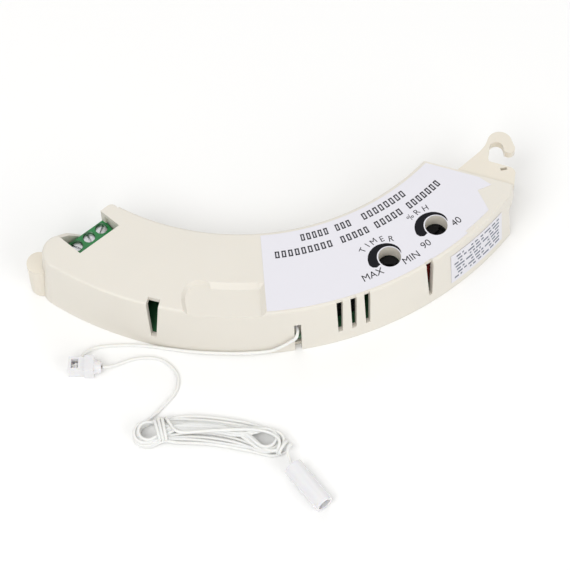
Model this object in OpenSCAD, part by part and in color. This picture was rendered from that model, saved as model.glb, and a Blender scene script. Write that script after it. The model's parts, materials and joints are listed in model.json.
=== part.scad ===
// Crescent control module of a round duct fan: a pull-cord switch, a run-on timer dial,
// a humidity dial and a three-way mains terminal in one case that wraps round the duct.
// Millimetres. The case is drawn about the duct's axis, with the cord slot towards -Y.

/* [Case] */
// Radius of the inner wall, which wraps round the duct
duct_r = 79.6; // [79.2:0.2:80.4]
// Radius of the outer wall at the top edge
rim_r = 110; // [109:0.5:111]
// How much further out the outer wall stands at its foot
draft = 2; // [0.5:0.5:2.5]
// Height of the case
case_h = 23; // [22.5:0.5:25]
// Thickness of the side walls
wall = 1.8; // [1.6:0.1:2]
// Thickness of the roof
roof = 2; // [1.8:0.1:2.2]
// Thickness of the floor plate
floor_t = 1.6; // [1.4:0.1:2]
// Radius of the rounded top edge
edge_r = 1; // [0.5:0.1:1.4]
// Slope of the end faces, in degrees from the long axis
end_slope = 30.5; // [29.5:0.5:31.5]
// Radius of the rounded outer corners at the top
lobe_r = 6.5; // [6:0.5:7]

/* [Openings] */
// Depth of the recess in the roof
recess_d = 1.3; // [0.8:0.1:1.4]
// Diameter of each dial hole
dial_hole_d = 7.4; // [7:0.2:8]
// Width of the cord slot
cord_slot_w = 2.3; // [2:0.1:2.6]
// Height of the cord slot
cord_slot_h = 14.6; // [13:0.2:15]
// Pitch of the three vents, in degrees
vent_pitch = 2.45; // [2.3:0.05:2.6]

/* [Terminal block] */
// Distance between the poles
pole_pitch = 5.08; // [5:0.01:5.08]
// Height of the block's top
terminal_top = 17; // [16.5:0.5:17.5]
// Height of a clamp cage at rest above the block's foot
clamp_z = 0.9; // [0.9:0.1:1]

/* [Cord] */
// Diameter of the cord
cord_d = 1.1; // [1:0.1:1.2]
// Outer diameter of the pull handle
handle_d = 6.4; // [6:0.2:6.8]
// Length of the pull handle
handle_len = 16.5; // [15:0.5:20]

/* [Hidden] */
$fn = 64;

cream = [0.93, 0.91, 0.86];
dark_cream = [0.88, 0.83, 0.74];
board_green = [0.16, 0.42, 0.22];
steel = [0.75, 0.75, 0.77];
milky = [0.94, 0.94, 0.95];

// Heights
board_z = 3.2;
board_top = 4.8;
dial_z = 11.6;
dial_top = 17.5;
block_top = 22.2;
nose_top = 15.2;
label_t = 0.15;
// Places round the arc: radius, and angle from the middle towards +X
left_slot_a = -24.4;
right_slot_a = 24.25;
vents_a = 9.75;
timer_at = [101.1, 18.9];
humidity_at = [100, 29.9];
boss_at = [[87, -32.8], [86, 14.5], [88, 38]];
board_screw_at = [[94, -13.5], [94, 34.5], [86, -17.2]];
nose_at = [108.2, -47.2];
nose_r = 4.1;
// Inner corner of the right-hand end; the left one mirrors it
horn_at = [53.1, -59.8];
horn_round_r = 2;
horn_round_t = 1.44;
// Places along an end face: distance from the horn, and depth into the case
cover_end = 1.5;
cover_end_t = 25;
cover_end_skew = 3;
notch = [3.4, 19.7];
notch_depth = 8.3;
block_from = 4.1;
block_depth = 10.4;
board_end = 5;
// The floor plate: how far in from the case's outside it stands, and its tongue's reach
floor_in = wall + 0.2;
floor_r = rim_r + draft - floor_in - 0.2;
tongue = [6, 22];
tongue_depth = 7;
foot_trim_r = 104.8;
foot_trim_a = 59;
foot_trim_lean = 5.7;
block_proud = 0.6;
pole_depth = 2.3;
clamp_bore_r = 1.25;
block_len = 3 * pole_pitch;
lobe_c_r = rim_r - lobe_r;
// Angle of the outer corners' centres, where they touch the outer wall
lobe_a = 43.6;

// The hook, in plan
hook_at = [76.9, -58.5];
hook_r = 4.1;
hook_gap_at = [75.4, -60.6];
hook_gap_r = 2.35;
hook_tip_at = [79.6, -61.3];
hook_tip_r = 1.9;
hook_t = 3;
// Outline of the hook's stem, from the cover's end along its outer edge and back
hook_stem = [
    [61.6, -66.2], [64, -64.6], [67.1, -62.6], [69.8, -60.8], [71.9, -58.9], [73.2, -56.9],
    hook_at, hook_gap_at - [hook_gap_r, 0], [72.5, -61.9], [71.9, -64.1], [72, -69]
];

// The object's own box, without the free cord, sets the origin
mid_x = (hook_tip_at[0] + hook_tip_r + polar(nose_at)[0] - nose_r) / 2;
mid_y = (hook_at[1] + hook_r - rim_r - draft) / 2;

// Lever, about its pin
pin_at = [-7, -99.5];
pin_r = 1.2;
lever_z = 8;
lever_h = 4.4;
arm_len = 7.4;
short_arm = 5.6;
plunger_gap = 0.05;
cord_z = 10;
// Snap switch beside the lever: its plunger faces the lever's short arm
switch_x = pin_at[0] - short_arm;
switch_front = pin_at[1] + 4;

knot_y = pin_at[1] + 1.6;

// Torsion spring on the pin above the lever
spring_turns = 3;
spring_r = 1.9;
spring_z = lever_z + lever_h + 0.5;
spring_points = concat(
    [[-4.5, spring_r + 0.4, spring_z], [-2, spring_r + 0.2, spring_z]],
    [for (i = [0 : 16 * spring_turns]) let (a = 90 - i * 22.5)
        [spring_r * cos(a), spring_r * sin(a), spring_z + 0.65 * i / 16]],
    [[2, spring_r + 0.2, spring_z + 0.65 * spring_turns],
     [4.5, spring_r + 0.4, spring_z + 0.65 * spring_turns]]
);

// Route of the upper cord from the guide, out through the slot, down the wall and along
// its foot to the connector
upper_route = [
    [0, -108.2, 10], [0, -110.3, 9.6], [-0.9, -112, 8.5], [-2.8, -112.2, 6.9],
    [-4.8, -112.3, 5.3], [-8.5, -112.25, 2.9], [-11.4, -112, 2.3], [-14.4, -111.65, 2.1],
    [-20.8, -110.6, 1.75], [-28.8, -108.85, 1.5], [-35.15, -107, 1.1], [-41.5, -104.8, 0.7],
    [-47.3, -102.8, 0.6], [-52.2, -101.5, 0.6], [-57.2, -100.6, 0.6], [-61.3, -100.1, 0.6],
    [-65.1, -100.2, 0.9], [-68.2, -101.4, 1.7], [-69.9, -103.1, 2.4], [-70.42, -104.6, 2.6]
];
// Route of the lower cord from the connector to the hank
lower_route = [
    [-64.2, -108.45, 2.6], [-62.4, -108.5, 1.9], [-59.5, -107.6, 1], [-54.6, -106.4, 0.6],
    [-50.3, -106.4, 0.6], [-46.2, -107.3, 0.6], [-43.1, -109.6, 0.6], [-40.9, -112.8, 0.6],
    [-40.3, -115.9, 0.6], [-41.2, -119.5, 0.6], [-43.6, -122.5, 0.6], [-47.1, -125.3, 0.6],
    [-49.6, -127.6, 0.9], [-51.2, -129.6, 1.6]
];

// Push-together connector that parts when the cord is pulled too hard
connector_at = [-69.6, -107.4];
connector_turn = -11;
connector_w = 4.8;
connector_h = 5;
cord_in_z = 2.6;

// Folded hank: each station is a point on its middle line and its half width there
hank_line = [
    [-56.3, -135.2, 3], [-50.4, -134.1, 4.3], [-42.5, -134.4, 5.3], [-33, -136.4, 5.4],
    [-24, -139.7, 5.4], [-16, -143.2, 5.4], [-10.4, -147.6, 4.2], [-9.1, -151.7, 2.3]
];
hank_h = 4.6;

// The handle lies on its side, its cord end against the hank
handle_at = [-9.1, -154.35];
handle_turn = -62.5;

// A point from [radius, angle], with angle 0 at the middle of the outer wall
function polar(p) = [p[0] * sin(p[1]), -p[0] * cos(p[1])];
// Radius of the outer wall at height z
function out_r(z) = rim_r + draft * (1 - z / case_h);
// Points of an arc in a profile
function arc(c, r, from, to, n) =
    [for (i = [0 : n]) let (a = from + (to - from) * i / n) c + r * [cos(a), sin(a)]];
// The outer wall's line from low to high, with a rounded top edge, shifted in by inset
function wall_line(inset, low, high, soft) = concat(
    [[out_r(low) - inset, low]],
    soft > 0
        ? arc([out_r(high) - inset - soft, high - soft], soft, 5, 90, 4)
        : [[out_r(high) - inset, high]]
);

// Depth of a point into the right-hand end
function end_depth(p) = -(p - horn_at) * [sin(end_slope), cos(end_slope)];
// Right-hand half of the floor plate's outline, from the middle of the outer wall to the
// middle of the inner one
floor_side = concat(
    [for (a = [0 : lobe_a / 16 : lobe_a - 1]) polar([floor_r, a])],
    [for (a = [lobe_a : 8 : lobe_a + 144]) let (
        p = polar([lobe_c_r, lobe_a]) + polar([floor_r - lobe_c_r, a])
    ) if (end_depth(p) > floor_in) p],
    [for (a = [44 : -2 : 0]) let (p = polar([duct_r + floor_in, a])) if (end_depth(p) > floor_in) p]
);

module placed() {
    translate([-mid_x, -mid_y, 0]) children();
}

// Local x points outwards from the duct's axis and local y along the arc towards +X
module at_polar(p) {
    rotate([0, 0, p[1] - 90]) translate([p[0], 0, 0]) children();
}

// Local x runs along the end face away from the horn, local y into the case
module at_left_end() {
    translate([-horn_at[0], horn_at[1], 0]) rotate([0, 0, 180 + end_slope]) children();
}

module at_end(side) {
    mirror([side > 0 ? 1 : 0, 0, 0]) at_left_end() children();
}

module sweep(from, to) {
    rotate([0, 0, from - 90]) rotate_extrude(angle = to - from, $fn = 180) children();
}

// Everything beyond the plane that lies at this depth into an end
module beyond_end(side, depth, low, high) {
    at_end(side) translate([-12, -20, low - 1]) cube([60, 20 + depth, high - low + 2]);
}

// Everything beyond the cover's right-hand end, moved in by inset
module beyond_cover(inset) {
    at_end(1) translate([cover_end_t, cover_end, 0]) rotate([0, 0, -cover_end_skew])
        translate([-40, -20, -9]) cube([60, 20 + inset, case_h + 20]);
}

// Leaning face that trims the foot of the right-hand corner
module corner_face(inset) {
    at_polar([foot_trim_r - inset, foot_trim_a]) rotate([0, foot_trim_lean, 0]) translate([0, -30, -5])
        cube([12, 60, 40]);
}

// The case's outer form between two heights, shifted in by inset; trimmed when it is to
// stop at the cover's right-hand end
module case_form(inset, low, high, soft = 0, trimmed = true) {
    in_r = duct_r + inset;
    line = wall_line(inset, low, high, soft);
    corner = [for (p = line) p - [lobe_c_r, 0]];
    inner = soft > 0
        ? arc([in_r + soft, high - soft], soft, 90, 180, 3)
        : [[in_r, high]];
    difference() {
        union() {
            difference() {
                union() {
                    sweep(-lobe_a, lobe_a) polygon(concat([[in_r, low]], line, inner));
                    for (side = [-1, 1]) at_end(side) translate([0, 0, low])
                        linear_extrude(high - low)
                            polygon([[12, -2], [20, -2], [23.6, 3], [18, 12], [12, 8]]);
                }
                for (side = [-1, 1]) beyond_end(side, inset, low, high);
            }
            for (side = [-1, 1]) at_polar([lobe_c_r, side * lobe_a])
                rotate([0, 0, side > 0 ? 0 : 180]) rotate_extrude(angle = 180)
                    polygon(concat([[0, low]], corner, [[0, high]]));
        }
        if (trimmed) beyond_cover(inset);
        corner_face(inset);
    }
}

// A wedge-shaped slot in the outer wall: half width w_top at the top and w_low at z_low
module wall_slot(a, w_top, w_low, z_low, z_top, from_r) {
    at_polar([from_r, a]) rotate([90, 0, 90]) linear_extrude(rim_r + draft + 2 - from_r)
        polygon([[-w_top, z_top], [w_top, z_top], [w_low, z_low], [-w_low, z_low]]);
}

module boss() {
    difference() {
        cylinder(r = 3.2, h = case_h - roof - floor_t + 0.3);
        translate([0, 0, -1]) cylinder(r = 1.45, h = 13);
    }
}

module dial_collar(p) {
    at_polar(p) translate([0, 0, 17.7]) cylinder(d = dial_hole_d + 2.6, h = 4);
}

// Rounds the horn between the inner wall and the end face
module horn_round(side) {
    at_end(side) translate([horn_round_t, horn_round_r, -1]) difference() {
        linear_extrude(case_h + 2) polygon([
            [0, 0], [0, -horn_round_r - 1], [-5, -horn_round_r - 1], [-5, 1], [-1.9, 0.62]
        ]);
        translate([0, 0, -1]) cylinder(r = horn_round_r, h = case_h + 4);
    }
}

module top_cover() {
    placed() color(cream) terminal_gusset();
    placed() color(cream) difference() {
        union() {
            difference() {
                case_form(0, 0, case_h, edge_r);
                case_form(wall, -1, case_h - roof);
            }
            dial_collar(timer_at);
            dial_collar(humidity_at);
            for (p = boss_at) at_polar(p) translate([0, 0, floor_t + 0.1]) boss();
            // Wall between the terminal and the horn
            at_left_end() translate([notch[0] - 1.5, 0, board_top + 0.2])
                cube([1.5, block_depth, case_h - roof - board_top]);
            // Skirt of the roof behind the terminal
            at_left_end() translate([notch[0] - 1.5, notch_depth, terminal_top + 0.4])
                cube([notch[1] - notch[0] + 1.5, 1.2, case_h - roof - terminal_top]);
        }
        horn_round(-1);
        horn_round(1);
        // Terminal notch, and the end wall over the block's face
        at_left_end() translate([notch[0], -block_proud - 0.15, board_top])
            cube([notch[1] - notch[0], notch_depth + block_proud + 0.15, terminal_top - board_top + 0.1]);
        at_left_end() translate([0, 0, terminal_top]) linear_extrude(case_h)
            polygon([[5.8, -8], [3.3, notch_depth], [19.4, notch_depth], [21.2, -4]]);
        at_left_end() translate([notch[0], -8, board_top])
            cube([notch[1] - notch[0], 8, terminal_top - board_top + 0.1]);
        for (p = [timer_at, humidity_at])
            at_polar(p) translate([0, 0, 15]) cylinder(d = dial_hole_d, h = 10);
        wall_slot(left_slot_a, 2.05, 0.9, 5, case_h + 0.1, 107);
        wall_slot(right_slot_a, 1.4, 0.6, 4.5, case_h + 0.1, 108.8);
        wall_slot(right_slot_a, 1.4, 0.6, 4.5, case_h - roof + 0.1, 106);
        for (i = [-1 : 1]) {
            wall_slot(vents_a + i * vent_pitch, 1.05, 0.75, 5.5, case_h - roof + 0.5, 106);
            wall_slot(vents_a + i * vent_pitch, 1.05, 1.05, case_h - roof, case_h + 0.1, 109.4);
        }
        translate([-cord_slot_w / 2, -rim_r - draft - 1, -1])
            cube([cord_slot_w, 8, cord_slot_h + 1]);
        recess();
        // Passage for the floor plate's tongue
        at_end(1) translate([tongue[0] - 0.1, -3, -2])
            cube([tongue[1] - tongue[0] + 0.2, 9, floor_t + 2.1]);
        nose(0.1);
    }
}

// Sloping gusset that runs from the corner along the terminal's outer side
module terminal_gusset() {
    at_left_end() translate([0, -block_proud - 0.2, 0]) rotate([90, 0, 0]) linear_extrude(1.2)
        polygon([
            [12.5, 11], [21.5, 11], [21.5, case_h - 1.5], [20.6, case_h - 0.6],
            [17.3, 20.2], [14.8, terminal_top], [12.5, 13.7]
        ]);
}

// Recess in the roof beside the label, open to the outer wall, with sloping sides
module recess() {
    low = case_h - recess_d;
    high = case_h + 0.1;
    side = [[97.8, high], [100, low], [114, low], [114, high]];
    // Middle, and its sloping right-hand end
    sweep(-16.7, -6.1) polygon(side);
    intersection() {
        sweep(-7, -4) polygon([for (p = side) p + [0.2, 0.15]]);
        at_polar([95, -6.1]) rotate([90, 0, 90]) linear_extrude(20)
            polygon([[-0.5, low], [0, low], [2, high], [-0.5, high]]);
    }
    // Rounded corner and straight left-hand side
    at_polar([103.5, -16.7]) rotate_extrude()
        polygon([[0, low], [4.7, low], [6, high], [0, high]]);
    translate([-30, -98.9, 0]) rotate([90, 0, 0]) linear_extrude(16)
        polygon([[-4.6, low], [4, low], [4, high], [-5.9, high]]);
}

// Floor plate, with a tongue under the cover's right-hand end that joins it to the bracket
module base_floor() {
    difference() {
        linear_extrude(floor_t) polygon(concat(
            floor_side,
            [for (i = [len(floor_side) - 1 : -1 : 0]) [-floor_side[i][0], floor_side[i][1]]]
        ));
        beyond_end(1, tongue_depth - 1.5, 0, floor_t);
        corner_face(floor_in + 0.2);
    }
    at_end(1) translate([tongue[0], 0, 0]) cube([tongue[1] - tongue[0], tongue_depth, floor_t]);
}

module nose(gap) {
    at_polar(nose_at) translate([0, 0, -gap]) cylinder(r = nose_r + gap, h = nose_top + 2 * gap);
}

// Bracket beyond the cover's right-hand end: it leans out towards its top and carries
// the hook
module end_block() {
    difference() {
        at_end(1) {
            linear_extrude(block_top) polygon([
                [10.5, 4], [10.5, 1], [18.2, -2], [18.8, -5], [26.4, -5.2], [28.7, -2.8],
                [29.8, 1.6], [28, 4]
            ]);
            translate([26.3, -2.8, 0]) cylinder(r = 2.4, h = block_top);
        }
        inside_cover();
        at_end(1) translate([0, 1.3, 0]) rotate([18, 0, 0]) translate([-5, -40, -5])
            cube([60, 40, 60]);
        corner_face(0);
    }
}

// Everything on the cover's side of its right-hand end, with a small gap
module inside_cover() {
    at_end(1) translate([cover_end_t, cover_end - 0.05, 0]) rotate([0, 0, -cover_end_skew])
        translate([-40, 0, -2]) cube([60, 20, case_h + 4]);
}

module hook_plate(z, h) {
    translate([0, 0, block_top - hook_t + z]) linear_extrude(h) children();
}

module hook() {
    difference() {
        union() {
            hook_plate(0, hook_t) translate(hook_at) circle(r = hook_r);
            hook_plate(0, hook_t) translate(hook_tip_at) circle(r = hook_tip_r);
            hook_plate(0, hook_t) polygon(hook_stem);
            hook_plate(0, hook_t) polygon([
                hook_at, hook_at + [hook_r, 0], hook_tip_at + [hook_tip_r, 0], hook_tip_at
            ]);
        }
        hook_plate(-1, hook_t + 2) translate(hook_gap_at) circle(r = hook_gap_r);
        hook_plate(-1, hook_t + 2) polygon([
            hook_gap_at - [hook_gap_r, 0], [72.5, -61.9], [71.9, -64.1], [77, -66],
            [77.75, -63.5], hook_gap_at + [hook_gap_r, 0]
        ]);
        inside_cover();
    }
}

module base_tray() {
    placed() color(dark_cream) difference() {
        union() {
            base_floor();
            nose(0);
            end_block();
            hook();
            // Pads under the board
            for (p = board_screw_at)
                at_polar(p) translate([0, 0, floor_t - 0.1]) cylinder(r = 2.4, h = board_z - floor_t + 0.1);
            // Post of the lever pin
            translate([pin_at[0], pin_at[1], 0]) cylinder(r = 2.4, h = lever_z - 0.3);
            // Rib that holds the cord guide, just inside the cord slot
            translate([-4, -107.9, floor_t - 0.1]) cube([8, 1.6, 12.4]);
        }
        for (p = boss_at) at_polar(p) {
            translate([0, 0, -1]) cylinder(r = 1.7, h = 4);
            translate([0, 0, -0.01]) cylinder(r1 = 3, r2 = 1.7, h = 1.2);
        }
        for (p = board_screw_at) at_polar(p) translate([0, 0, 0.6]) cylinder(r = 1, h = 4);
        translate([pin_at[0], pin_at[1], 3]) cylinder(r = pin_r, h = 10);
        translate([0, -105, cord_z]) rotate([90, 0, 0]) cylinder(r = 1.6, h = 4);
        // Clip slot in the bracket
        translate([75, -69.4, block_top - 1.6]) cube([2.2, 1, 3]);
    }
}

module top_label() {
    placed() color([0.9, 0.89, 0.94]) translate([0, 0, case_h]) difference() {
        sweep(-5, 43.4) translate([80.9, 0]) square([28, label_t]);
        sweep(33, 45) translate([107.9, -1]) square([5, 3]);
        translate([0, 0, -case_h]) beyond_cover(0.7);
        at_end(1) translate([27.6, -1, -1]) rotate([0, 0, 45]) cube([12, 12, 3]);
        for (p = [timer_at, humidity_at]) at_polar(p) translate([0, 0, -1])
            cylinder(d = dial_hole_d, h = 3);
        wall_slot(right_slot_a, 1.4, 1.4, -1, 1, 108.6);
    }
}

// Sticker on the outer wall, which follows its slope
module side_label() {
    placed() color([0.9, 0.9, 0.94]) difference() {
        sweep(28.6, 41) polygon([
            [out_r(3.4), 3.4], [out_r(3.4) + label_t, 3.4],
            [out_r(19) + label_t, 19], [out_r(19), 19]
        ]);
        corner_face(0);
    }
}

module circuit_board() {
    placed() color(board_green) difference() {
        case_form(wall + 0.4, board_z, board_top);
        beyond_end(1, board_end, board_z, board_top);
        nose(0.4);
        for (p = boss_at) at_polar(p) translate([0, 0, 2]) cylinder(r = 3.6, h = 4);
        for (p = board_screw_at) at_polar(p) translate([0, 0, 2]) cylinder(r = 1.1, h = 4);
        translate([pin_at[0], pin_at[1], 2]) cylinder(r = 2.8, h = 4);
        translate([-4.4, -108.4, 2]) cube([8.8, 2.5, 4]);
    }
}

module screw_head(head_r, head_h, slot_w) {
    difference() {
        cylinder(r = head_r, h = head_h);
        translate([-head_r - 1, -slot_w / 2, head_h * 0.45]) cube([2 * head_r + 2, slot_w, head_h]);
    }
}

module board_screws() {
    placed() color(steel) for (p = board_screw_at) at_polar(p) {
        translate([0, 0, 0.7]) cylinder(r = 0.95, h = board_top - 0.7);
        translate([0, 0, board_top]) screw_head(2, 1.3, 0.5);
    }
}

module cover_screws() {
    placed() color(steel) for (p = boss_at) at_polar(p) {
        cylinder(r = 1.4, h = 11);
        difference() {
            cylinder(r1 = 2.8, r2 = 1.4, h = 1.15);
            for (a = [0, 90]) rotate([0, 0, a]) translate([-1.6, -0.25, -0.1]) cube([3.2, 0.5, 0.7]);
        }
    }
}

// Local x along the block from its first side, local y into the case from its outer face
module at_terminal(pole = -1) {
    placed() at_left_end() translate([
        block_from + (pole < 0 ? 0 : (pole + 0.5) * pole_pitch), -block_proud,
        board_top
    ]) children();
}

module terminal_body() {
    h = terminal_top - board_top;
    at_terminal() color([0.1, 0.55, 0.25]) difference() {
        cube([block_len, block_depth, h]);
        // Bevel along the outer top edge
        translate([-1, -1, h - 1.2]) rotate([0, 90, 0])
            linear_extrude(block_len + 2) polygon([[-3, 0], [0.4, 1.01], [-3, 2.6]]);
        for (i = [0 : 2]) translate([(i + 0.5) * pole_pitch, block_proud + pole_depth, 0]) {
            // Screw well, and the chamber that the clamp rises in
            translate([0, 0, h - 3]) cylinder(d = 4.1, h = 4);
            translate([0, 0, h - 3.4]) cylinder(d = 3.1, h = 1);
            translate([-2.05, -1.9, 0.8]) cube([4.1, 4.6, h - 4]);
        }
        // Wire entries
        for (i = [0 : 2]) translate([(i + 0.5) * pole_pitch, -1, 3.3]) rotate([-90, 0, 0])
            cylinder(r = 1.5, h = 3);
    }
}

module terminal_screw(i) {
    h = terminal_top - board_top;
    at_terminal(i) translate([0, block_proud + pole_depth, 0]) color(steel) {
        translate([0, 0, h - 2.95]) rotate([0, 0, 35 + 40 * i]) screw_head(1.9, 1.7, 0.7);
        translate([0, 0, 5.2]) cylinder(r = clamp_bore_r - 0.05, h = h - 7.5);
    }
}

// Clamp cage: its roof is bored for the screw, and it rises as the screw is turned
module terminal_clamp(i) {
    at_terminal(i) translate([-1.9, block_proud + pole_depth - 1.75, clamp_z]) color([0.8, 0.75, 0.55])
        difference() {
            cube([3.8, 4.3, 5.4]);
            translate([0.6, -1, 0.8]) cube([2.6, 7, 3.3]);
            translate([1.9, 1.75, 3]) cylinder(r = clamp_bore_r, h = 4);
        }
}

module terminal_screw_1() { terminal_screw(0); }
module terminal_screw_2() { terminal_screw(1); }
module terminal_screw_3() { terminal_screw(2); }
module terminal_clamp_1() { terminal_clamp(0); }
module terminal_clamp_2() { terminal_clamp(1); }
module terminal_clamp_3() { terminal_clamp(2); }

module pot_body(p) {
    placed() at_polar(p) color([0.16, 0.2, 0.34]) difference() {
        translate([-4.5, -4.5, board_top]) cube([9, 9, dial_z - 0.3 - board_top]);
        translate([0, 0, 7]) cylinder(r = 1.55, h = 8);
        translate([0, 0, dial_z - 0.9]) cylinder(r = 3.4, h = 2);
    }
}

// Dial with a screwdriver slot and a pointer notch; turned is where it points at rest
module dial(p, turned) {
    placed() at_polar(p) color([0.08, 0.08, 0.09]) {
        translate([0, 0, 7.2]) cylinder(r = 1.5, h = dial_z - 7);
        difference() {
            translate([0, 0, dial_z]) cylinder(r = 3.45, h = dial_top - dial_z);
            rotate([0, 0, turned]) translate([-2.4, -0.45, dial_top - 1.4]) cube([4.8, 0.9, 3]);
            rotate([0, 0, turned]) translate([2.1, -1, dial_top - 1.4]) cube([1, 2, 3]);
        }
    }
}

module timer_pot_body() { pot_body(timer_at); }
module timer_dial() { dial(timer_at, 60); }
module humidity_pot_body() { pot_body(humidity_at); }
module humidity_dial() { dial(humidity_at, 95); }

// A box on the board: local size radially, along the arc and up
module board_box(p, size) {
    placed() at_polar(p) translate([-size[0] / 2, -size[1] / 2, board_top]) cube(size);
}

module humidity_sensor() {
    color([0.12, 0.12, 0.13]) difference() {
        board_box([103.6, vents_a], [3.6, 8.4, 12.6]);
        for (i = [-2 : 2], k = [0 : 3])
            placed() at_polar([105.6, vents_a]) translate([-0.6, i * 1.4 - 0.4, 8 + k * 2])
                cube([2, 0.8, 1.2]);
    }
}

module relay() {
    color([0.12, 0.12, 0.13]) board_box([90, -24.6], [10, 17.4, 15.4]);
}

module film_capacitor() {
    color([0.45, 0.09, 0.08]) board_box([105.2, 24.4], [4.4, 8.2, 11.2]);
}

module suppression_capacitor() {
    color([0.85, 0.75, 0.35]) board_box([97.5, 38.6], [10, 5.4, 9.6]);
}

module electrolytic_capacitor() {
    placed() at_polar([101, -32.6]) {
        color([0.14, 0.14, 0.2]) translate([0, 0, board_top]) cylinder(r = 5, h = 14);
        color(steel) translate([0, 0, board_top + 14]) cylinder(r = 4.4, h = 0.3);
    }
}

module disc_varistor() {
    placed() at_polar([101.5, -15.4]) color([0.2, 0.35, 0.6]) {
        translate([-1.8, 0, 10]) rotate([0, 90, 0]) cylinder(r = 4.4, h = 3.6);
        for (y = [-2.5, 2.5]) translate([0, y, board_top]) cylinder(r = 0.4, h = 3);
    }
}

module bridge_rectifier() {
    color([0.1, 0.1, 0.11]) board_box([87.5, -12.8], [5, 8, 8.6]);
}

module control_chip() {
    placed() at_polar([88.5, 6.4]) {
        color([0.09, 0.09, 0.1]) translate([-3.2, -5, board_top + 0.5]) difference() {
            cube([6.4, 10, 3.2]);
            translate([3.2, 0, 2.8]) cylinder(r = 1, h = 2);
        }
        color(steel) for (x = [-3.6, 3.2], i = [0 : 3])
            translate([x, -4 + i * 2.54, board_top]) cube([0.4, 0.5, 2.2]);
    }
}

module resistors() {
    placed() color([0.75, 0.65, 0.45]) for (i = [0 : 3]) at_polar([88.5, 20.5 + i * 2.8]) {
        translate([0, 0, board_top + 1.5]) rotate([0, 90, 0]) translate([0, 0, -3.4])
            cylinder(r = 1.15, h = 6.8);
        for (x = [-3.2, 2.8]) translate([x, -0.2, board_top]) cube([0.4, 0.4, 1]);
    }
}

module switch_body() {
    placed() color([0.1, 0.1, 0.12]) difference() {
        translate([switch_x - 3.6, switch_front, board_top + 1]) cube([12.8, 6, 6.6]);
        translate([switch_x, switch_front - 1, cord_z]) rotate([-90, 0, 0]) cylinder(r = 1.05, h = 4);
        for (x = [-1.4, 7]) translate([switch_x + x, switch_front + 4.2, board_top])
            cylinder(r = 0.8, h = 9);
    }
}

module switch_pins() {
    placed() color(steel) for (i = [0 : 2])
        translate([switch_x - 1.9 + i * 4.5, switch_front + 2, board_top]) cube([0.9, 0.5, 1]);
}

module switch_plunger() {
    placed() color([0.75, 0.2, 0.15])
        translate([switch_x, pin_at[1] + 1.5 + plunger_gap, cord_z]) rotate([-90, 0, 0])
            cylinder(r = 1, h = 4.2);
}

// Rocking lever: the cord pulls its long arm towards the wall, its short arm presses
// the switch
module cord_lever() {
    placed() translate([pin_at[0], pin_at[1], lever_z]) color([0.92, 0.92, 0.9]) difference() {
        union() {
            cylinder(r = 2.6, h = lever_h);
            translate([0, -1, 0]) cube([arm_len, 2, lever_h]);
            translate([arm_len - 2, -1.4, 0]) cube([4, 3, lever_h]);
            translate([-short_arm, -1, 0]) cube([short_arm, 2, lever_h]);
            translate([-short_arm, 0, 0]) cylinder(r = 1.5, h = lever_h);
        }
        translate([0, 0, -1]) cylinder(r = pin_r + 0.05, h = lever_h + 2);
        translate([-pin_at[0], 4, cord_z - lever_z]) rotate([90, 0, 0]) cylinder(r = 0.75, h = 8);
    }
}

module lever_pin() {
    placed() translate([pin_at[0], pin_at[1], 3]) color(steel) cylinder(r = pin_r, h = 13.4);
}

// Wire swept along points, as one closed surface with n sides
function unit(v) = v / norm(v);
function tangent(p, i) = unit(p[min(i + 1, len(p) - 1)] - p[max(i - 1, 0)]);
function side_of(t) = unit(cross(abs(t[2]) > 0.9 ? [1, 0, 0] : [0, 0, 1], t));
function ring(p, i, r, n) = let (t = tangent(p, i), u = side_of(t), v = cross(t, u))
    [for (k = [0 : n - 1]) p[i] + r * (cos(360 * k / n) * u + sin(360 * k / n) * v)];

module wire(p, r, n) {
    count = len(p);
    polyhedron(
        points = [for (i = [0 : count - 1]) each ring(p, i, r, n)],
        faces = concat(
            [[for (k = [0 : n - 1]) k]],
            [[for (k = [n - 1 : -1 : 0]) (count - 1) * n + k]],
            [for (i = [0 : count - 2], k = [0 : n - 1]) let (m = (k + 1) % n, a = i * n, b = a + n)
                [a + m, a + k, b + k, b + m]]
        )
    );
}

module return_spring() {
    placed() translate([pin_at[0], pin_at[1], 0]) color(steel) wire(spring_points, 0.25, 6);
}

// Bush in the rib that the cord runs through
module cord_guide() {
    placed() translate([0, -105.6, cord_z]) rotate([90, 0, 0]) color(milky) difference() {
        union() {
            cylinder(r = 2.2, h = 0.7);
            cylinder(r = 1.6, h = 2.6);
        }
        translate([0, 0, -1]) cylinder(r = 0.75, h = 5);
    }
}

module cord_knot() {
    placed() translate([0, knot_y + 1.3, cord_z]) color(milky) rotate([90, 0, 0])
        cylinder(r = 1.5, h = 1.3);
}

module cord_tail() {
    placed() translate([0, knot_y, cord_z]) rotate([90, 0, 0]) color(milky)
        cylinder(d = cord_d, h = 4.2, $fn = 16);
}

// Catmull-Rom curve through the route's points
function curve(p, steps) = concat(
    [for (i = [0 : len(p) - 2], s = [0 : steps - 1]) let (
        t = s / steps, a = p[max(i - 1, 0)], b = p[i], c = p[i + 1], d = p[min(i + 2, len(p) - 1)]
    ) 0.5 * ((2 * b) + (c - a) * t + (2 * a - 5 * b + 4 * c - d) * t * t
        + (3 * b - a - 3 * c + d) * t * t * t)],
    [p[len(p) - 1]]
);

module upper_cord() {
    placed() color(milky) wire(curve(upper_route, 2), cord_d / 2, 8);
}

module lower_cord() {
    placed() color(milky) wire(curve(lower_route, 2), cord_d / 2, 8);
}

module at_connector() {
    placed() translate([connector_at[0], connector_at[1], 0])
        rotate([0, 0, connector_turn]) children();
}

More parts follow.
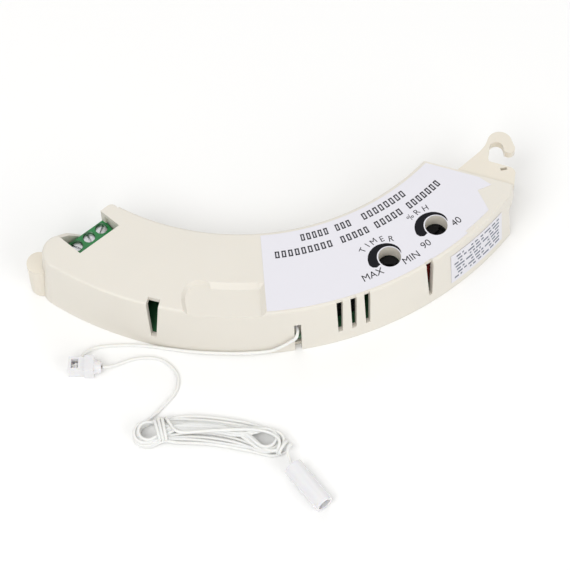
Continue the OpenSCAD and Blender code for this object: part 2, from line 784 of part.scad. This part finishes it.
module connector_plug() {
    at_connector() color(milky) difference() {
        translate([-5.4, -connector_w / 2, 0]) cube([5.2, connector_w, connector_h]);
        // Window over the knot, and the cord's hole in the rear face
        translate([-4.4, -1.6, 1.1]) cube([2.3, 3.2, 6]);
        translate([-1.3, 0, cord_in_z]) rotate([-90, 0, 0]) cylinder(r = 0.7, h = 4);
        translate([-3, -0.7, cord_in_z - 0.7]) cube([2.4, 1.4, 1.4]);
    }
}

module connector_socket() {
    at_connector() color(milky) difference() {
        union() {
            translate([-0.2, -connector_w / 2 - 0.4, 0])
                cube([3.2, connector_w + 0.8, connector_h + 0.4]);
            translate([2.9, 0, cord_in_z + 0.1]) rotate([0, 90, 0])
                cylinder(r1 = 2.6, r2 = 1.8, h = 2.4);
        }
        translate([-3, 0, cord_in_z]) rotate([0, 90, 0]) cylinder(r = 0.7, h = 12);
    }
}

module cord_hank() {
    placed() color(milky) linear_extrude(hank_h) for (i = [0 : len(hank_line) - 2])
        hull() for (s = [hank_line[i], hank_line[i + 1]])
            translate([s[0], s[1]]) circle(r = s[2], $fn = 20);
}

module at_handle() {
    placed() translate([handle_at[0], handle_at[1], handle_d / 2])
        rotate([0, 0, handle_turn]) rotate([0, 90, 0]) children();
}

module pull_handle() {
    at_handle() color(milky) difference() {
        cylinder(d = handle_d, h = handle_len);
        translate([0, 0, 3]) cylinder(r = handle_d / 2 - 1, h = handle_len);
        translate([0, 0, -1]) cylinder(r = 0.8, h = 6);
    }
}

module handle_knot() {
    at_handle() color(milky) translate([0, 0, 3]) cylinder(r = 1.5, h = 2.4);
}

top_cover();
base_tray();
top_label();
side_label();
circuit_board();
board_screws();
cover_screws();
terminal_body();
terminal_screw_1();
terminal_screw_2();
terminal_screw_3();
terminal_clamp_1();
terminal_clamp_2();
terminal_clamp_3();
timer_pot_body();
timer_dial();
humidity_pot_body();
humidity_dial();
humidity_sensor();
relay();
film_capacitor();
suppression_capacitor();
electrolytic_capacitor();
disc_varistor();
bridge_rectifier();
control_chip();
resistors();
switch_body();
switch_pins();
switch_plunger();
cord_lever();
lever_pin();
return_spring();
cord_guide();
cord_knot();
cord_tail();
upper_cord();
connector_plug();
connector_socket();
lower_cord();
cord_hank();
pull_handle();
handle_knot();
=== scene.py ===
import json
import math
import bmesh
import bpy
from mathutils import Matrix, Vector


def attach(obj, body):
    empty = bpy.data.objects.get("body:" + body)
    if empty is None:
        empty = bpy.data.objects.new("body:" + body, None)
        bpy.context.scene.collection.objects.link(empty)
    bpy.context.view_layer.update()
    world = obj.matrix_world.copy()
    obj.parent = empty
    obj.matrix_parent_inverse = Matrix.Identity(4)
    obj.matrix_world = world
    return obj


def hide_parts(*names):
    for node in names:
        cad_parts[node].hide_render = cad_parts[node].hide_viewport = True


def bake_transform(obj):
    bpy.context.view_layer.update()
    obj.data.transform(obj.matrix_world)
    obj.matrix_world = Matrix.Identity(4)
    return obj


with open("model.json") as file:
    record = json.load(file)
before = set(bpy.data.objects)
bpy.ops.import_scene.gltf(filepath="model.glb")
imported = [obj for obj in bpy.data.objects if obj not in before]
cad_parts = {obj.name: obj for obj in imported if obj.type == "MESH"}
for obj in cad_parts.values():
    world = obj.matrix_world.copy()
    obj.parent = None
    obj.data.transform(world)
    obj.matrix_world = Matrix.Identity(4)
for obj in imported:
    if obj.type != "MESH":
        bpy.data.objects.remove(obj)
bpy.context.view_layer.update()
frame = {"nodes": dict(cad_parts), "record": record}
nodes = frame["nodes"]
scene = bpy.context.scene

# The case is drawn about the duct's axis, in millimetres; the row frame is centred on it
MID_X, MID_Y = -0.9948, -83.2
CASE_H, LABEL_T, INK_T = 23.0, 0.15, 0.012
RIM_R, DRAFT = 110.0, 2.0
ROOT = "module"


def at(x, y, z=0.0):
    """A point of the drawing, in the row frame in metres."""
    return Vector(((x - MID_X) / 1000, (y - MID_Y) / 1000, z / 1000))


def polar(r, a):
    """A drawing point at a radius and an angle in degrees from the middle of the outer wall."""
    return r * math.sin(math.radians(a)), -r * math.cos(math.radians(a))


def out_r(z):
    """The outer wall's radius at a height: the wall leans in towards the roof."""
    return RIM_R + DRAFT * (1 - z / CASE_H)


# ---------------------------------------------------------------- camera
camera = bpy.data.objects.new("camera", bpy.data.cameras.new("camera"))
scene.collection.objects.link(camera)
scene.camera = camera
camera.data.sensor_width = 36.0
camera.data.lens = 151.43
camera.data.clip_start = 0.05
camera.data.clip_end = 20.0
RIGHT = Vector((0.986108, -0.1653713, -0.0155997))
UP = Vector((0.1521589, 0.8616518, 0.4841528))
AHEAD = Vector((0.0666235, 0.4798006, -0.8748444))
turn = Matrix((RIGHT, UP, -AHEAD)).transposed().to_4x4()
camera.matrix_world = Matrix.Translation((-0.05244, -0.38579, 0.69587)) @ turn


# ---------------------------------------------------------------- mesh helpers
def mesh_object(name, vertices, faces, smooth=False):
    """A new object from points and faces, its faces turned outwards."""
    mesh = bpy.data.meshes.new(name)
    mesh.from_pydata([tuple(v) for v in vertices], [], faces)
    mesh.validate()
    bm = bmesh.new()
    bm.from_mesh(mesh)
    bmesh.ops.recalc_face_normals(bm, faces=bm.faces)
    bm.to_mesh(mesh)
    bm.free()
    for face in mesh.polygons:
        face.use_smooth = smooth
    obj = bpy.data.objects.new(name, mesh)
    scene.collection.objects.link(obj)
    return obj


def catmull(points, steps):
    """A smooth line through the points."""
    out = []
    for i in range(len(points) - 1):
        a, b, c = points[max(i - 1, 0)], points[i], points[i + 1]
        d = points[min(i + 2, len(points) - 1)]
        for s in range(steps):
            t = s / steps
            out.append(0.5 * ((2 * b) + (c - a) * t + (2 * a - 5 * b + 4 * c - d) * t * t
                              + (3 * b - a - 3 * c + d) * t * t * t))
    out.append(points[-1].copy())
    return out


def eased(points, step, rounds):
    """The same line with even spacing, its corners eased."""
    out, left = [points[0].copy()], step
    for a, b in zip(points, points[1:]):
        gap = (b - a).length
        gone = left
        while gone < gap:
            out.append(a.lerp(b, gone / gap))
            gone += step
        left = gone - gap
    out.append(points[-1].copy())
    for _ in range(rounds):
        inner = [(a + 2 * b + c) / 4 for a, b, c in zip(out, out[1:], out[2:])]
        out = [out[0]] + inner + [out[-1]]
    return out


def tube(name, line, radius, sides=10):
    """A closed tube along a line, its rings turned as little as possible."""
    vertices, faces = [], []
    normal = None
    for i, p in enumerate(line):
        t = (line[min(i + 1, len(line) - 1)] - line[max(i - 1, 0)]).normalized()
        if normal is None:
            normal = t.cross(Vector((0, 0, 1)) if abs(t.z) < 0.9 else Vector((1, 0, 0))).normalized()
        else:
            normal = (normal - t * normal.dot(t)).normalized()
        other = t.cross(normal)
        for k in range(sides):
            w = 2 * math.pi * k / sides
            vertices.append(p + radius * (math.cos(w) * normal + math.sin(w) * other))
    for i in range(len(line) - 1):
        for k in range(sides):
            m = (k + 1) % sides
            faces.append((i * sides + k, i * sides + m, (i + 1) * sides + m, (i + 1) * sides + k))
    faces.append(tuple(range(sides - 1, -1, -1)))
    faces.append(tuple(range((len(line) - 1) * sides, len(line) * sides)))
    return mesh_object(name, vertices, faces, smooth=True)


# ---------------------------------------------------------------- cords
CORD_D = 1.1
UPPER_ROUTE = [
    (0, -98.6, 10), (0, -101, 10), (0, -104, 10),
    (0, -108.2, 10), (0, -110.3, 9.6), (-0.9, -112, 8.5), (-2.8, -112.2, 6.9),
    (-4.8, -112.3, 5.3), (-8.5, -112.25, 2.9), (-11.4, -112, 2.3), (-14.4, -111.65, 2.1),
    (-20.8, -110.6, 1.75), (-28.8, -108.85, 1.5), (-35.15, -107, 1.1), (-41.5, -104.8, 0.7),
    (-47.3, -102.8, 0.6), (-52.2, -101.5, 0.6), (-57.2, -100.6, 0.6), (-61.3, -100.1, 0.6),
    (-65.1, -100.2, 0.9), (-68.2, -101.4, 1.7), (-69.9, -103.1, 2.4), (-70.42, -104.6, 2.6)]
LOWER_ROUTE = [
    (-64.2, -108.45, 2.6), (-62.4, -108.5, 1.9), (-59.5, -107.6, 1), (-54.6, -106.4, 0.6),
    (-50.3, -106.4, 0.6), (-46.2, -107.3, 0.6), (-43.1, -109.6, 0.6), (-40.9, -112.8, 0.6),
    (-40.3, -115.9, 0.6), (-41.2, -119.5, 0.6), (-43.6, -122.5, 0.6), (-47.1, -125.3, 0.6),
    (-49.6, -127.6, 0.9), (-51.2, -129.6, 1.6)]
HANK_LINE = [
    (-56.3, -135.2), (-50.4, -134.1), (-42.5, -134.4), (-33, -136.4),
    (-24, -139.7), (-16, -143.2), (-10.4, -147.6), (-9.1, -151.7)]
HANDLE_AT = (-9.1, -154.35)
HANDLE_TURN = -62.5

upper_line = catmull([at(*p) for p in UPPER_ROUTE], 4)
upper_cord = tube("upper_cord_line", upper_line, CORD_D / 2000)

# The hank: a middle line, and runs placed beside it by distance along, across and up
middle = catmull([Vector((x, y, 0)) for x, y in HANK_LINE], 8)
stations = [0.0]
for p, q in zip(middle, middle[1:]):
    stations.append(stations[-1] + (q - p).length)


def hank_point(s, u, z):
    """A point of the hank: distance along its middle line, across it, and height."""
    s = min(max(s, -6.0), stations[-1] + 6.0)
    i = 0
    while i < len(stations) - 2 and stations[i + 1] < s:
        i += 1
    along = (middle[i + 1] - middle[i]).normalized()
    lo, hi = max(i - 1, 0), min(i + 2, len(middle) - 1)
    smooth = (middle[hi] - middle[lo]).normalized()
    p = middle[i] + along * (s - stations[i]) + Vector((-smooth.y, smooth.x, 0)) * u
    return at(p.x, p.y, z)


# Each loop's fold radius, and how far from the middle its runs lie between the folds
FIRST_Z, LOOP_RISE = 0.75, 0.45
FOLDS = [4.3, 3.5, 4.1, 3.3, 4.0, 3.35, 3.8, 3.45]
COLUMNS = [4.8, 3.6, 2.4, 1.2, 4.2, 3.0, 1.8, 0.6]
LEFT_S, RIGHT_S = 3.3, 43.4
TIE_S, TIE_Z = 8.2, 2.6
LOWEST_Z = 0.58
TURN_SHARE = 0.34


def smooth_step(t):
    """From 0 to 1 and no further, with soft ends."""
    t = min(max(t, 0.0), 1.0)
    return t * t * (3 - 2 * t)


def run(i, side, start, end, r_start, r_end, z_start, z_end):
    """One run of the cord from fold to fold, on one side of the hank or crossing over."""
    points = []
    for k in range(1, 16):
        t = k / 16
        inner = smooth_step(t / TURN_SHARE) * smooth_step((1 - t) / TURN_SHARE)
        r_fold = r_start if t < 0.5 else r_end
        u = side * (r_fold + (COLUMNS[i] - r_fold) * inner)
        u += inner * (0.16 * math.sin(5 * t + 2.1 * i + side) + 0.1 * math.sin(11 * t - 1.3 * i))
        if i >= 4:
            # The upper runs cross over to the other side and back
            u *= 1 - (1.15 + 0.22 * (i - 4)) * inner
        along = start + (end - start) * t
        tied = math.exp(-((along - TIE_S) / 2.4) ** 2)
        u *= 1 - 0.26 * tied
        z_fold = z_start + (z_end - z_start) * t
        z_run = 1.1 if i < 4 else 2.9
        z = z_fold + (z_run - z_fold) * inner + 0.1 * inner * math.sin(4 * t + i)
        z = TIE_Z + (z - TIE_Z) * (1 - 0.5 * tied)
        points.append(hank_point(along, u, max(z, LOWEST_Z)))
    return points


def fold(s, r, way, z_start, z_end, first=0):
    """A half turn at an end of the hank; way is +1 at the right-hand end."""
    return [hank_point(s + way * r * math.sin(math.pi * k / 8), -way * r * math.cos(math.pi * k / 8),
                       z_start + (z_end - z_start) * k / 8) for k in range(first, 9)]


def wraps(turns, s, pitch, a, b, start):
    """Turns round the hank, each with two flat sides and ends of radius b."""
    points = []
    flat, bend = 2 * (a - b), math.pi * b
    for k in range(turns * 16 + 1):
        f = (start + k / 16) % 1 * 2 * (flat + bend)
        if f < flat:
            u, z = a - b - f, b
        elif f < flat + bend:
            w = (f - flat) / b
            u, z = b - a - b * math.sin(w), b * math.cos(w)
        elif f < 2 * flat + bend:
            u, z = b - a + (f - flat - bend), -b
        else:
            w = (f - 2 * flat - bend) / b
            u, z = a - b + b * math.sin(w), -b * math.cos(w)
        points.append(hank_point(s + pitch * k / 16, u, TIE_Z + z))
    return points


LOOPS = len(FOLDS)
hank = []
for i in range(LOOPS):
    left_s = LEFT_S + 0.7 * math.sin(1.9 * i)
    right_s = RIGHT_S + 1.2 * math.sin(2.3 * i + 1)
    next_i = min(i + 1, LOOPS - 1)
    next_left = LEFT_S + 0.7 * math.sin(1.9 * next_i)
    z0, z1 = FIRST_Z + LOOP_RISE * i, FIRST_Z + LOOP_RISE * next_i
    hank += fold(left_s, FOLDS[i], -1, z0, z0, 2 if i == 0 else 0)
    hank += run(i, -1, left_s, right_s, FOLDS[i], FOLDS[i], z0, z0)
    hank += fold(right_s, FOLDS[i], 1, z0, z0)
    hank += run(i, 1, right_s, next_left, FOLDS[i], FOLDS[next_i], z0, z1)

# The end is wound round the left-hand end, laid along the top and wound round the neck
LAID_END = [(12.5, -2.0, 4.3), (16, -2.4, 4.1), (23, -1.6, 4.2),
            (31, 0.2, 4.1), (38, 1.6, 4.2), (43.5, 1.9, 4.4)]
NECK_S, AFTER_NECK = 47.2, (51.2, -0.6, 4.3)
hank += wraps(3, TIE_S - 1.8, pitch=1.15, a=4.1, b=2.0, start=0.9)
hank += [hank_point(*place) for place in LAID_END]
hank += wraps(2, NECK_S, pitch=1.2, a=2.9, b=2.0, start=0.02)
hank.append(hank_point(*AFTER_NECK))

# It then runs straight into the handle's bore
HANDLE_Z = 3.2
handle_dir = Vector((math.cos(math.radians(HANDLE_TURN)), math.sin(math.radians(HANDLE_TURN)), 0))
handle_start = at(*HANDLE_AT, HANDLE_Z)
hank += [handle_start + handle_dir * depth for depth in (-0.0008, 0.0012, 0.0036)]

lower_line = eased(catmull([at(*p) for p in LOWER_ROUTE[:-1]] + hank, 3), 0.001, 4)
lower_cord = tube("lower_cord_line", lower_line, CORD_D / 2000, 8)

# Knot that shows in the plug's window: a trefoil
PLUG_AT, PLUG_TURN = (-69.6, -107.4), math.radians(-11)
WINDOW_X, KNOT_R, KNOT_Z, KNOT_RISE = -3.3, 0.33, 2.6, 0.45
KNOT_STEPS = 24
knot_line = []
for k in range(KNOT_STEPS + 1):
    w = 2 * math.pi * k / KNOT_STEPS
    x = WINDOW_X + KNOT_R * (math.sin(w) + 2 * math.sin(2 * w))
    y = KNOT_R * (math.cos(w) - 2 * math.cos(2 * w))
    knot_line.append(at(PLUG_AT[0] + x * math.cos(PLUG_TURN) - y * math.sin(PLUG_TURN),
                        PLUG_AT[1] + x * math.sin(PLUG_TURN) + y * math.cos(PLUG_TURN),
                        KNOT_Z - KNOT_RISE * math.sin(3 * w)))
plug_knot = tube("plug_knot", knot_line, CORD_D / 2300, 8)
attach(plug_knot, ROOT)

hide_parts("upper_cord", "cord_tail")
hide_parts("lower_cord", "cord_hank")
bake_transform(upper_cord)
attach(lower_cord, ROOT)


# ---------------------------------------------------------------- materials
def material(name, colour, rough, fine=1500, blotch=45, vary=0.03, bump=0.15, depth=0.00006,
             metal=0.0, coat=0.0, clear=0.0, soft=0.0, stretch=(1, 1, 1), spread=0.06, shine=0.5):
    """A surface with broad colour variation, and a fine grain in its roughness and relief."""
    mat = bpy.data.materials.new(name)
    mat.use_nodes = True
    tree = mat.node_tree
    shader = tree.nodes["Principled BSDF"]
    shader.inputs["Metallic"].default_value = metal
    shader.inputs["Specular IOR Level"].default_value = shine
    shader.inputs["Coat Weight"].default_value = coat
    shader.inputs["Coat Roughness"].default_value = 0.25
    shader.inputs["Transmission Weight"].default_value = clear
    shader.inputs["Subsurface Weight"].default_value = soft
    shader.inputs["Subsurface Radius"].default_value = (0.004, 0.003, 0.002)
    shader.inputs["Subsurface Scale"].default_value = 0.3
    place = tree.nodes.new("ShaderNodeTexCoord")
    scale = tree.nodes.new("ShaderNodeMapping")
    scale.inputs["Scale"].default_value = stretch
    tree.links.new(place.outputs["Object"], scale.inputs["Vector"])
    broad = tree.nodes.new("ShaderNodeTexNoise")
    broad.inputs["Scale"].default_value = blotch
    broad.inputs["Detail"].default_value = 3
    grain = tree.nodes.new("ShaderNodeTexNoise")
    grain.inputs["Scale"].default_value = fine
    grain.inputs["Detail"].default_value = 2
    for noise in (broad, grain):
        tree.links.new(scale.outputs["Vector"], noise.inputs["Vector"])
    mix = tree.nodes.new("ShaderNodeMix")
    mix.data_type = "RGBA"
    mix.inputs[6].default_value = (*[c * (1 - vary) for c in colour], 1)
    mix.inputs[7].default_value = (*[min(c * (1 + vary), 1) for c in colour], 1)
    tree.links.new(broad.outputs["Fac"], mix.inputs[0])
    tree.links.new(mix.outputs[2], shader.inputs["Base Color"])
    spread_node = tree.nodes.new("ShaderNodeMapRange")
    spread_node.inputs["To Min"].default_value = rough - spread
    spread_node.inputs["To Max"].default_value = rough + spread
    tree.links.new(grain.outputs["Fac"], spread_node.inputs["Value"])
    tree.links.new(spread_node.outputs["Result"], shader.inputs["Roughness"])
    relief = tree.nodes.new("ShaderNodeBump")
    relief.inputs["Strength"].default_value = bump
    relief.inputs["Distance"].default_value = depth
    tree.links.new(grain.outputs["Fac"], relief.inputs["Height"])
    tree.links.new(relief.outputs["Normal"], shader.inputs["Normal"])
    return mat


MATS = {
    "cover_plastic": material("cover_plastic", (0.735, 0.70, 0.63), 0.42, vary=0.025, coat=0.08, soft=0.05),
    "base_plastic": material("base_plastic", (0.75, 0.70, 0.605), 0.45, vary=0.03, coat=0.05, soft=0.05),
    "label_film": material("label_film", (0.735, 0.725, 0.775), 0.36, fine=2600, vary=0.012,
                           bump=0.05, coat=0.25),
    "board_laminate": material("board_laminate", (0.05, 0.22, 0.09), 0.35, fine=900, vary=0.2, coat=0.4),
    "screw_steel": material("screw_steel", (0.62, 0.62, 0.64), 0.33, fine=3000, vary=0.08, metal=1.0,
                            stretch=(1, 0.15, 1)),
    "green_plastic": material("green_plastic", (0.01, 0.20, 0.045), 0.38, vary=0.08, coat=0.15),
    "blue_plastic": material("blue_plastic", (0.04, 0.08, 0.24), 0.4, vary=0.08),
    "black_plastic": material("black_plastic", (0.008, 0.008, 0.009), 0.5, vary=0.2, shine=0.2),
    "white_plastic": material("white_plastic", (0.80, 0.80, 0.78), 0.4, vary=0.03, soft=0.05),
    "red_resin": material("red_resin", (0.30, 0.03, 0.025), 0.22, vary=0.08, coat=0.5),
    "yellow_plastic": material("yellow_plastic", (0.72, 0.52, 0.10), 0.4, vary=0.06),
    "beige_resin": material("beige_resin", (0.55, 0.40, 0.20), 0.3, vary=0.08, coat=0.3),
    "red_plastic": material("red_plastic", (0.50, 0.05, 0.03), 0.4, vary=0.06),
    "clamp_brass": material("clamp_brass", (0.70, 0.55, 0.28), 0.3, fine=2500, vary=0.08, metal=1.0),
    "cord_nylon": material("cord_nylon", (0.82, 0.82, 0.80), 0.4, fine=5200, vary=0.035, bump=0.5,
                           depth=0.0001, soft=0.12, stretch=(1, 1, 0.6)),
    "clear_plastic": material("clear_plastic", (0.86, 0.855, 0.87), 0.24, fine=1800, vary=0.02, bump=0.08,
                              clear=0.12, soft=0.25, coat=0.2),
}
INK = material("print_black", (0.009, 0.009, 0.012), 0.6, fine=2600, vary=0.15, bump=0.05, shine=0.12)
PALE_INK = material("print_grey", (0.06, 0.06, 0.07), 0.6, fine=2600, vary=0.2, bump=0.05, shine=0.12)
BLUE_INK = material("print_slate", (0.13, 0.15, 0.20), 0.5, fine=2600, vary=0.3, bump=0.05)


def paint(obj, mat):
    """Gives the object this one material."""
    obj.data.materials.clear()
    obj.data.materials.append(mat)


for entry in frame["record"]["subparts"]:
    paint(nodes[entry["node"]], MATS[entry["material_slot"]])
for cord in (upper_cord, lower_cord, plug_knot):
    paint(cord, MATS["cord_nylon"])


def soften(node, width, angle=35):
    """Rounds a node's edges a little with a modifier."""
    bevel = nodes[node].modifiers.new("edges", "BEVEL")
    bevel.width = width
    bevel.segments = 2
    bevel.limit_method = "ANGLE"
    bevel.angle_limit = math.radians(angle)
    bevel.use_clamp_overlap = True


for name, width in (("connector_plug", 0.0004), ("connector_socket", 0.0004), ("pull_handle", 0.0003),
                    ("relay", 0.0003), ("suppression_capacitor", 0.0003), ("film_capacitor", 0.0004)):
    soften(name, width)


# ---------------------------------------------------------------- printing
def printed(obj, mat):
    """Print in ink that rides on the case."""
    paint(obj, mat)
    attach(obj, ROOT)


TOP_Z = CASE_H + LABEL_T + INK_T


def arc_quads(cells, name, mat, steps=2):
    """Flat cells on the top label: from and to radius, from and to angle."""
    vertices, faces = [], []
    for r0, r1, a0, a1 in cells:
        base = len(vertices)
        for i in range(steps + 1):
            a = a0 + (a1 - a0) * i / steps
            vertices += [at(*polar(r0, a), TOP_Z), at(*polar(r1, a), TOP_Z)]
        for i in range(steps):
            k = base + 2 * i
            faces.append((k, k + 2, k + 3, k + 1))
    printed(mesh_object(name, vertices, faces), mat)


def title_cells(words, r_mid, height, pitch=1.42, share=0.66):
    """Plain cells the size of letters, standing in for a printed line."""
    cells = []
    stroke, stroke_a = 0.45, 0.30
    low, high = r_mid - height / 2, r_mid + height / 2
    for start, end in words:
        count = max(2, round((end - start) / pitch))
        step = (end - start) / count
        for i in range(count):
            a0, a1 = start + i * step, start + (i + share) * step
            cells += [(low, low + stroke, a0, a1), (high - stroke, high, a0, a1),
                      (low, high, a0, a0 + stroke_a), (low, high, a1 - stroke_a, a1)]
    return cells


LETTER_H = 2.5
FIRST_LINE_R, FIRST_LINE = 83.9, [(3.9, 10.6), (12, 16), (18.6, 30.3)]
SECOND_LINE_R, SECOND_LINE = 88.7, [(-2.3, 10.4), (12, 18.7), (20, 27), (28.3, 37.6)]
arc_quads(title_cells(FIRST_LINE, FIRST_LINE_R, LETTER_H), "title_line_1", PALE_INK)
arc_quads(title_cells(SECOND_LINE, SECOND_LINE_R, LETTER_H), "title_line_2", PALE_INK)

# Wedge-shaped mark round each dial hole: angle, inner radius and outer radius
WEDGE = [(214, 4.1, 5.7), (206, 4.1, 6.8), (196, 4.1, 7.3), (180, 4.1, 7.2), (165, 4.1, 6.95),
         (150, 4.1, 6.6), (135, 4.08, 6.2), (120, 4.05, 5.8), (105, 4.0, 5.4), (90, 3.98, 5.15),
         (75, 3.95, 4.95), (60, 3.95, 4.8), (45, 3.95, 4.65), (30, 3.95, 4.45), (12, 3.95, 4.1)]


def wedge(name, hole, turned):
    """The wedge round a dial hole, turned by some degrees."""
    cx, cy = polar(*hole)
    fine = []
    for (a0, i0, o0), (a1, i1, o1) in zip(WEDGE, WEDGE[1:]):
        for k in range(3):
            t = k / 3
            fine.append((a0 + (a1 - a0) * t, i0 + (i1 - i0) * t, o0 + (o1 - o0) * t))
    fine.append(WEDGE[-1])
    vertices, faces = [], []
    for a, inner, outer in fine:
        w = math.radians(a + turned)
        for r in (inner, outer):
            vertices.append(at(cx + r * math.cos(w), cy + r * math.sin(w), TOP_Z))
    for i in range(len(fine) - 1):
        faces.append((2 * i, 2 * i + 2, 2 * i + 3, 2 * i + 1))
    printed(mesh_object(name, vertices, faces), INK)


TIMER_AT, HUMIDITY_AT = (101.1, 18.9), (100, 29.9)
wedge("timer_wedge", TIMER_AT, 0)
wedge("humidity_wedge", HUMIDITY_AT, 2)


def caption(name, text, x, y, turned, size):
    """Flat letters on the top label, as a mesh."""
    curve = bpy.data.curves.new(name + "_curve", "FONT")
    curve.body = text
    curve.size = 1
    curve.align_x = "CENTER"
    curve.align_y = "CENTER"
    curve.resolution_u = 4
    source = bpy.data.objects.new(name + "_source", curve)
    scene.collection.objects.link(source)
    bpy.context.view_layer.update()
    mesh = bpy.data.meshes.new_from_object(source.evaluated_get(bpy.context.evaluated_depsgraph_get()))
    bpy.data.objects.remove(source)
    place = Matrix.Translation(at(x, y, TOP_Z)) @ Matrix.Rotation(math.radians(turned), 4, "Z")
    mesh.transform(place @ Matrix.Scale(size / 1000, 4))
    mesh.name = name
    obj = bpy.data.objects.new(name, mesh)
    scene.collection.objects.link(obj)
    printed(obj, INK)


MARK_H, LETTER_SIZE = 3.5, 3.0
caption("mark_max", "MAX", 26.2, -101.3, 17, MARK_H)
caption("mark_min", "MIN", 39.6, -97.2, 24, MARK_H)
caption("mark_90", "90", 45.2, -93.1, 27.5, MARK_H)
caption("mark_40", "40", 56.6, -86.5, 31.5, MARK_H)
for letter, x, y, turned in (("T", 24.7, -91.8, 58), ("I", 26.5, -90.25, 47), ("M", 28.7, -89.2, 34),
                             ("E", 31.5, -88.8, 17), ("R", 34.4, -89.2, 0)):
    caption("timer_" + letter, letter, x, y, turned, LETTER_SIZE)
for letter, name, x, y, turned in (("%", "percent", 42.2, -82.3, 56), ("R", "R", 44.6, -80.8, 40),
                                   ("H", "H", 47.6, -79.8, 20)):
    caption("rh_" + name, letter, x, y, turned, LETTER_SIZE)


def side_cells(name):
    """Plain cells on the side sticker, in rows that follow the wall."""
    rows, first_z, pitch, height, gap = 7, 5.0, 1.95, 0.95, 0.4
    left, right, furthest = 29.3, 39.6, 40.2
    vertices, faces = [], []
    for row in range(rows):
        z = first_z + pitch * row
        a = left + 0.25 * ((row * 3) % 4)
        k = row
        while a < right:
            word = 0.9 + 0.55 * ((k * 7 + row * 3) % 4)
            last = min(a + word, furthest)
            base = len(vertices)
            for edge in (a, last):
                for zz in (z, z + height):
                    r = out_r(zz) + LABEL_T + INK_T
                    vertices.append(at(*polar(r, edge), zz))
            faces.append((base, base + 2, base + 3, base + 1))
            a = last + gap
            k += 1
    printed(mesh_object(name, vertices, faces), BLUE_INK)


side_cells("side_print")

# ---------------------------------------------------------------- stage and light
bpy.ops.mesh.primitive_plane_add(size=6, location=(0, 0, -0.0001))
floor = bpy.context.object
floor.name = "floor"
paint(floor, material("floor_white", (0.93, 0.93, 0.925), 0.8, fine=300, blotch=4, vary=0.01, bump=0.02))

world = bpy.data.worlds.new("studio")
scene.world = world
world.use_nodes = True
world.node_tree.nodes["Background"].inputs["Color"].default_value = (1.0, 0.995, 0.985, 1)
world.node_tree.nodes["Background"].inputs["Strength"].default_value = 0.55


def softbox(name, place, size, power, target=(0, 0, 0)):
    """A square lamp aimed at a point."""
    light = bpy.data.lights.new(name, "AREA")
    light.size = size
    light.energy = power
    obj = bpy.data.objects.new(name, light)
    scene.collection.objects.link(obj)
    obj.location = place
    obj.rotation_euler = (Vector(target) - Vector(place)).to_track_quat("-Z", "Y").to_euler()


softbox("key", (-0.5, -0.5, 1.1), 0.9, 8.0)
softbox("fill", (0.7, -0.9, 0.7), 1.0, 5.0)
softbox("back", (0.2, 0.9, 0.9), 0.9, 2.4)
scene.view_settings.view_transform = "Standard"
